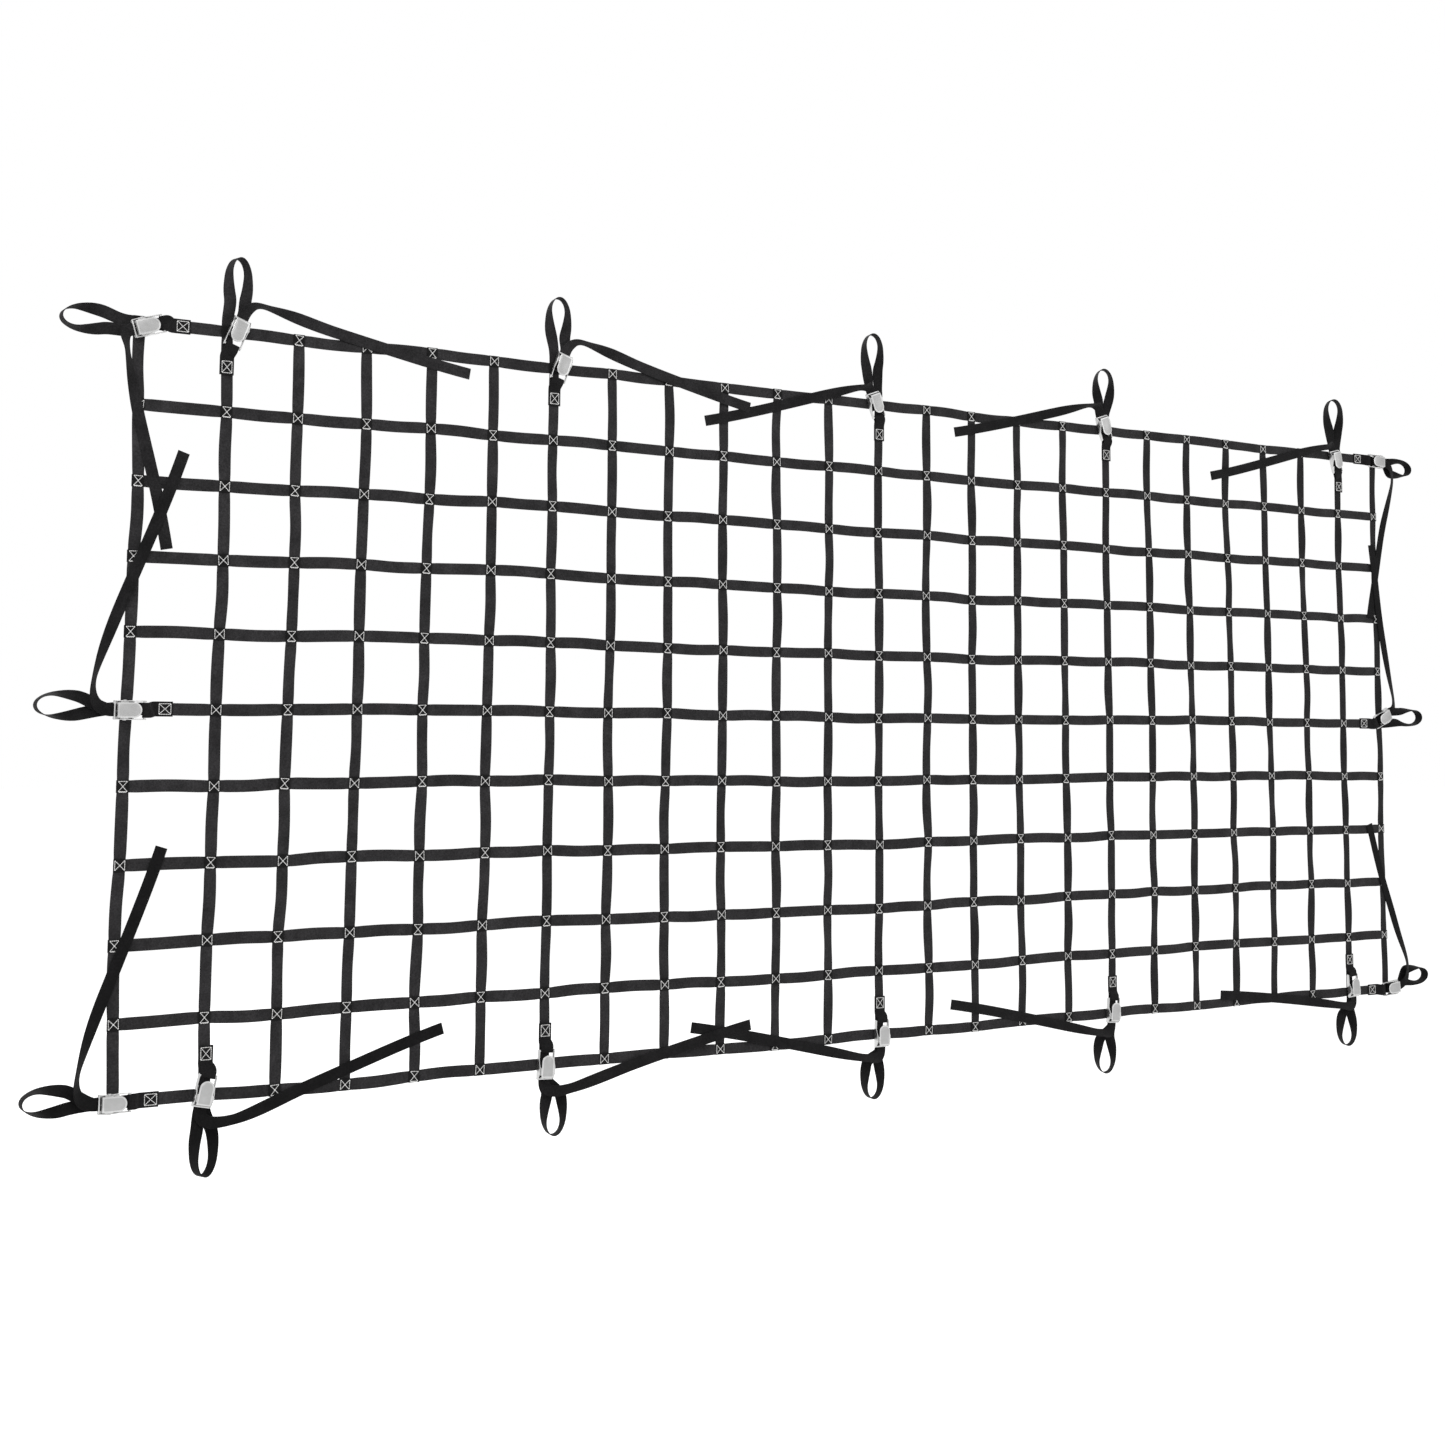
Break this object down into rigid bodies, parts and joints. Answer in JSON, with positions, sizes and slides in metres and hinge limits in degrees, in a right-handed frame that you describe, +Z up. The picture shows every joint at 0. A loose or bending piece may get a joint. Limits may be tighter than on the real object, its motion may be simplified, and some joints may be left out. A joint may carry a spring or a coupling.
{
  "type": "cargo climbing net",
  "caption": "Rectangular climbing net of crossed black webbing straps sewn at every crossing, with cam buckles and open webbing loops round its edge for hanging.",
  "frame": {"origin": "the eye of the top middle loop, which the net hangs from", "axes": "+X along the net's length to the right as the viewer faces it, +Y away from the viewer through the net, +Z up"},
  "size_m": [4.0324, 0.0527, 1.8684],
  "materials": {
    "webbing": "woven polyester",
    "loop_webbing": "woven polyester",
    "buckle_metal": "satin zinc plate",
    "spring_steel": "bright",
    "thread": "bonded thread"
  },
  "bodies": {
    "net": {"row_webbing_00": "webbing", "row_webbing_01": "webbing", "row_webbing_02": "webbing", "row_webbing_03": "webbing", "row_webbing_04": "webbing", "row_webbing_05": "webbing", "row_webbing_06": "webbing", "row_webbing_07": "webbing", "row_webbing_08": "webbing", "row_webbing_09": "webbing", "row_webbing_10": "webbing", "column_webbing_00": "webbing", "column_webbing_01": "webbing", "column_webbing_02": "webbing", "column_webbing_03": "webbing", "column_webbing_04": "webbing", "column_webbing_05": "webbing", "column_webbing_06": "webbing", "column_webbing_07": "webbing", "column_webbing_08": "webbing", "column_webbing_09": "webbing", "column_webbing_10": "webbing", "column_webbing_11": "webbing", "column_webbing_12": "webbing", "column_webbing_13": "webbing", "column_webbing_14": "webbing", "column_webbing_15": "webbing", "column_webbing_16": "webbing", "column_webbing_17": "webbing", "column_webbing_18": "webbing", "column_webbing_19": "webbing", "column_webbing_20": "webbing", "column_webbing_21": "webbing", "column_webbing_22": "webbing", "column_webbing_23": "webbing", "column_webbing_24": "webbing", "top_loop_straps": "loop_webbing", "bottom_loop_straps": "loop_webbing", "side_loop_straps": "loop_webbing", "buckle_tabs": "loop_webbing", "buckle_frames": "buckle_metal", "pivot_pins": "buckle_metal", "cam_springs": "spring_steel", "tab_seams": "thread"},
    "lever_top_1": {"cam_lever_top_1": "buckle_metal"},
    "lever_top_2": {"cam_lever_top_2": "buckle_metal"},
    "lever_top_3": {"cam_lever_top_3": "buckle_metal"},
    "lever_top_4": {"cam_lever_top_4": "buckle_metal"},
    "lever_top_5": {"cam_lever_top_5": "buckle_metal"},
    "lever_bottom_1": {"cam_lever_bottom_1": "buckle_metal"},
    "lever_bottom_2": {"cam_lever_bottom_2": "buckle_metal"},
    "lever_bottom_3": {"cam_lever_bottom_3": "buckle_metal"},
    "lever_bottom_4": {"cam_lever_bottom_4": "buckle_metal"},
    "lever_bottom_5": {"cam_lever_bottom_5": "buckle_metal"},
    "lever_left_1": {"cam_lever_left_1": "buckle_metal"},
    "lever_left_2": {"cam_lever_left_2": "buckle_metal"},
    "lever_left_3": {"cam_lever_left_3": "buckle_metal"},
    "lever_right_1": {"cam_lever_right_1": "buckle_metal"},
    "lever_right_2": {"cam_lever_right_2": "buckle_metal"},
    "lever_right_3": {"cam_lever_right_3": "buckle_metal"}
  },
  "joints": [
    {"name": "cam_top_1", "type": "hinge", "parent": "net", "child": "lever_top_1", "pos_m": [-1.6299, -0.01263, -0.13972], "axis": [0.9397, 0, -0.342], "range_deg": [0, 22], "stiffness_Nm_per_rad": 0.5, "springref_deg": -34.38},
    {"name": "cam_top_2", "type": "hinge", "parent": "net", "child": "lever_top_2", "pos_m": [-0.87429, -0.01263, -0.13459], "axis": [0.9511, 0, -0.309], "range_deg": [0, 22], "stiffness_Nm_per_rad": 0.5, "springref_deg": -34.38},
    {"name": "cam_top_3", "type": "hinge", "parent": "net", "child": "lever_top_3", "pos_m": [0.0009, -0.01263, -0.13972], "axis": [0.9397, 0, 0.342], "range_deg": [0, 22], "stiffness_Nm_per_rad": 0.5, "springref_deg": -34.38},
    {"name": "cam_top_4", "type": "hinge", "parent": "net", "child": "lever_top_4", "pos_m": [0.76429, -0.01263, -0.13159], "axis": [0.9511, 0, 0.309], "range_deg": [0, 22], "stiffness_Nm_per_rad": 0.5, "springref_deg": -34.38},
    {"name": "cam_top_5", "type": "hinge", "parent": "net", "child": "lever_top_5", "pos_m": [1.6731, -0.01263, -0.15336], "axis": [0.9703, 0, 0.2419], "range_deg": [0, 22], "stiffness_Nm_per_rad": 0.5, "springref_deg": -34.38},
    {"name": "cam_bottom_1", "type": "hinge", "parent": "net", "child": "lever_bottom_1", "pos_m": [-1.6565, -0.01263, -1.68674], "axis": [-0.9781, 0, 0.2079], "range_deg": [0, 22], "stiffness_Nm_per_rad": 0.5, "springref_deg": -34.38},
    {"name": "cam_bottom_2", "type": "hinge", "parent": "net", "child": "lever_bottom_2", "pos_m": [-0.89263, -0.01263, -1.69498], "axis": [-0.9986, 0, 0.0523], "range_deg": [0, 22], "stiffness_Nm_per_rad": 0.5, "springref_deg": -34.38},
    {"name": "cam_bottom_3", "type": "hinge", "parent": "net", "child": "lever_bottom_3", "pos_m": [0.022, -0.01263, -1.693], "axis": [-1, 0, 0], "range_deg": [0, 22], "stiffness_Nm_per_rad": 0.5, "springref_deg": -34.38},
    {"name": "cam_bottom_4", "type": "hinge", "parent": "net", "child": "lever_bottom_4", "pos_m": [0.77516, -0.01263, -1.68697], "axis": [-0.9976, 0, 0.0698], "range_deg": [0, 22], "stiffness_Nm_per_rad": 0.5, "springref_deg": -34.38},
    {"name": "cam_bottom_5", "type": "hinge", "parent": "net", "child": "lever_bottom_5", "pos_m": [1.69905, -0.01263, -1.67695], "axis": [-0.9962, 0, -0.0872], "range_deg": [0, 22], "stiffness_Nm_per_rad": 0.5, "springref_deg": -34.38},
    {"name": "cam_left_1", "type": "hinge", "parent": "net", "child": "lever_left_1", "pos_m": [-1.82948, -0.01263, -0.16051], "axis": [-0.2924, 0, 0.9563], "range_deg": [0, 22], "stiffness_Nm_per_rad": 0.5, "springref_deg": -34.38},
    {"name": "cam_left_2", "type": "hinge", "parent": "net", "child": "lever_left_2", "pos_m": [-1.841, -0.01263, -0.926], "axis": [0, 0, 1], "range_deg": [0, 22], "stiffness_Nm_per_rad": 0.5, "springref_deg": -34.38},
    {"name": "cam_left_3", "type": "hinge", "parent": "net", "child": "lever_left_3", "pos_m": [-1.844, -0.01263, -1.683], "axis": [0, 0, 1], "range_deg": [0, 22], "stiffness_Nm_per_rad": 0.5, "springref_deg": -34.38},
    {"name": "cam_right_1", "type": "hinge", "parent": "net", "child": "lever_right_1", "pos_m": [1.86199, -0.01263, -0.15242], "axis": [-0.0349, 0, -0.9994], "range_deg": [0, 22], "stiffness_Nm_per_rad": 0.5, "springref_deg": -34.38},
    {"name": "cam_right_2", "type": "hinge", "parent": "net", "child": "lever_right_2", "pos_m": [1.86079, -0.01263, -0.90174], "axis": [0.4384, 0, -0.8988], "range_deg": [0, 22], "stiffness_Nm_per_rad": 0.5, "springref_deg": -34.38},
    {"name": "cam_right_3", "type": "hinge", "parent": "net", "child": "lever_right_3", "pos_m": [1.86993, -0.01263, -1.67975], "axis": [0.1045, 0, -0.9945], "range_deg": [0, 22], "stiffness_Nm_per_rad": 0.5, "springref_deg": -34.38}
  ]
}
